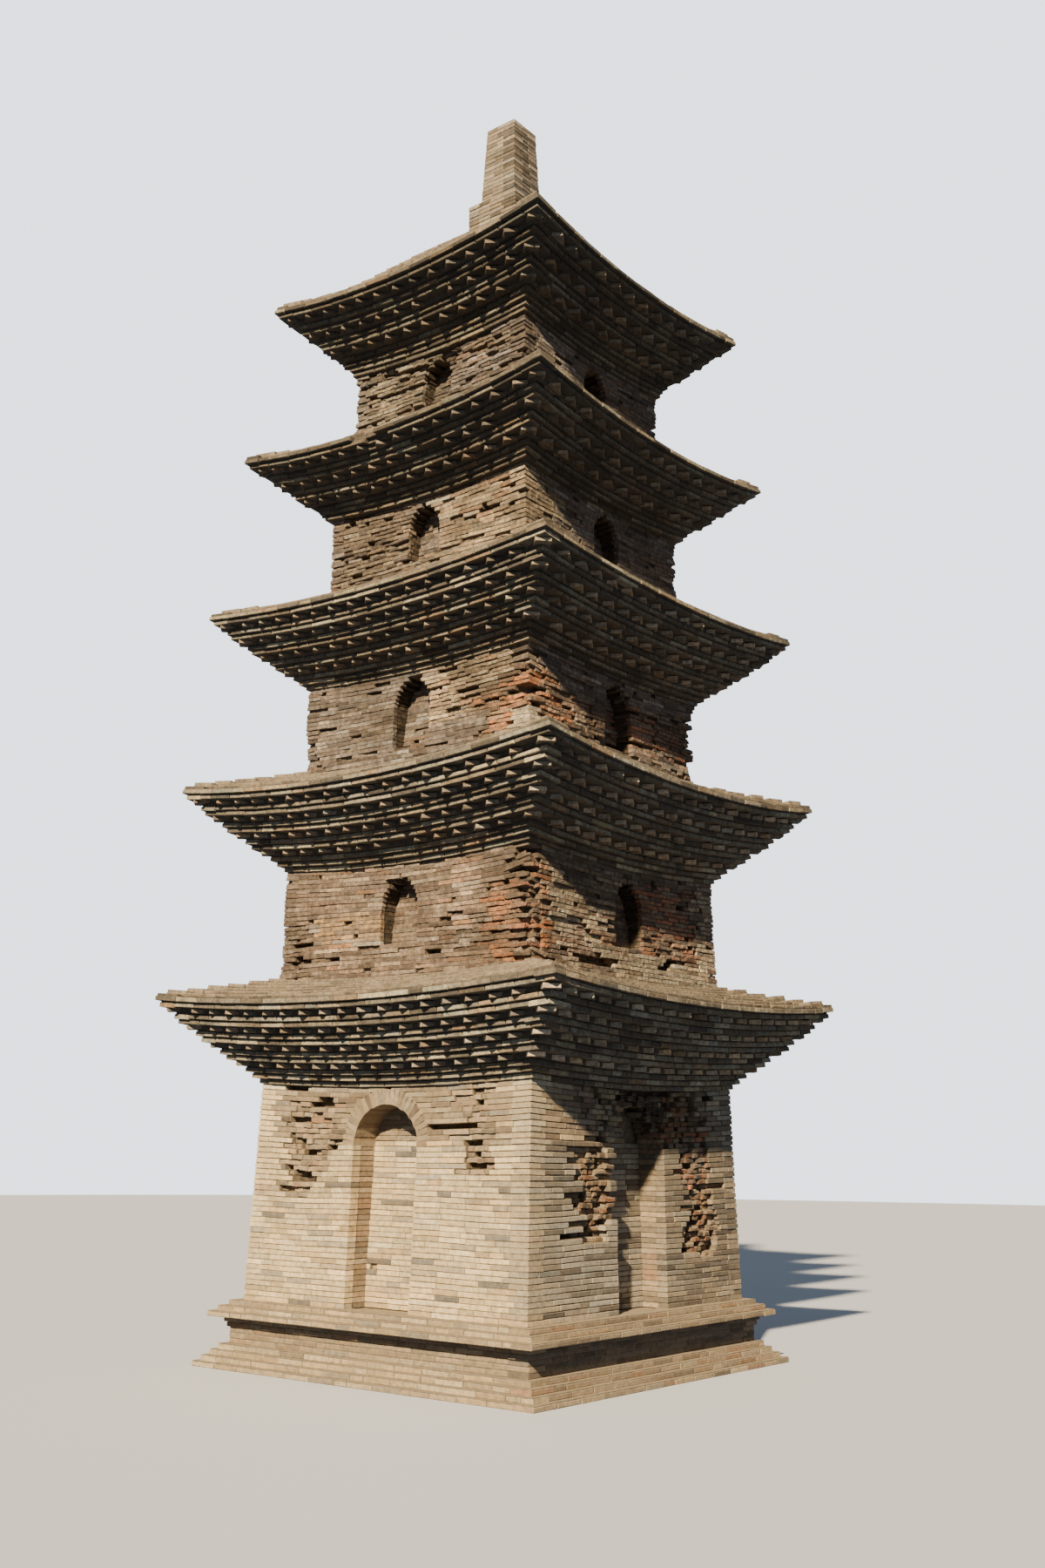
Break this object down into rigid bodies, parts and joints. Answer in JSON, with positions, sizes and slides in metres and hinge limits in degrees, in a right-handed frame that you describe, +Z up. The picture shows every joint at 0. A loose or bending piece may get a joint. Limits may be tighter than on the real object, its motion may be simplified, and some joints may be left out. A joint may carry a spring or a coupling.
{
  "type": "square brick pagoda",
  "caption": "Old square brick pagoda: a battered shaft in storeys, each with a blind niche on every side and a corbelled dog-tooth eave, on a stepped plinth, with a square finial stump.",
  "frame": {"origin": "centre of the underside, where the lowest footing course meets the ground", "axes": "+Z up along the shaft; the front side faces -Y and the right side faces +X"},
  "size_m": [4.6198, 4.423, 12.405],
  "materials": {
    "restored_brick": "rough, re-pointed grey-tan brick",
    "weathered_brick": "rough, weathered brown-grey brick",
    "eave_brick": "rough, sooty grey-brown brick",
    "roof_brick": "rough brick smeared with mortar",
    "mortar": "rough lime mortar"
  },
  "bodies": {
    "root": {"footing": "restored_brick", "plinth_dado": "restored_brick", "plinth_fillets": "restored_brick", "plinth_steps": "restored_brick", "storey_1_wall": "restored_brick", "eave_1_corbel": "eave_brick", "eave_1_tier_1": "eave_brick", "eave_1_tier_2": "eave_brick", "eave_1_tier_3": "eave_brick", "eave_1_tier_4": "eave_brick", "eave_1_roof": "roof_brick", "storey_2_wall": "weathered_brick", "eave_2_corbel": "eave_brick", "eave_2_tier_1": "eave_brick", "eave_2_tier_2": "eave_brick", "eave_2_tier_3": "eave_brick", "eave_2_tier_4": "eave_brick", "eave_2_roof": "roof_brick", "storey_3_wall": "weathered_brick", "eave_3_corbel": "eave_brick", "eave_3_tier_1": "eave_brick", "eave_3_tier_2": "eave_brick", "eave_3_tier_3": "eave_brick", "eave_3_tier_4": "eave_brick", "eave_3_roof": "roof_brick", "storey_4_wall": "weathered_brick", "eave_4_corbel": "eave_brick", "eave_4_tier_1": "eave_brick", "eave_4_tier_2": "eave_brick", "eave_4_tier_3": "eave_brick", "eave_4_roof": "roof_brick", "storey_5_wall": "weathered_brick", "eave_5_corbel": "eave_brick", "eave_5_tier_1": "eave_brick", "eave_5_tier_2": "eave_brick", "eave_5_tier_3": "eave_brick", "eave_5_roof": "roof_brick", "finial_base": "restored_brick", "finial_shaft": "restored_brick"}
  },
  "joints": []
}
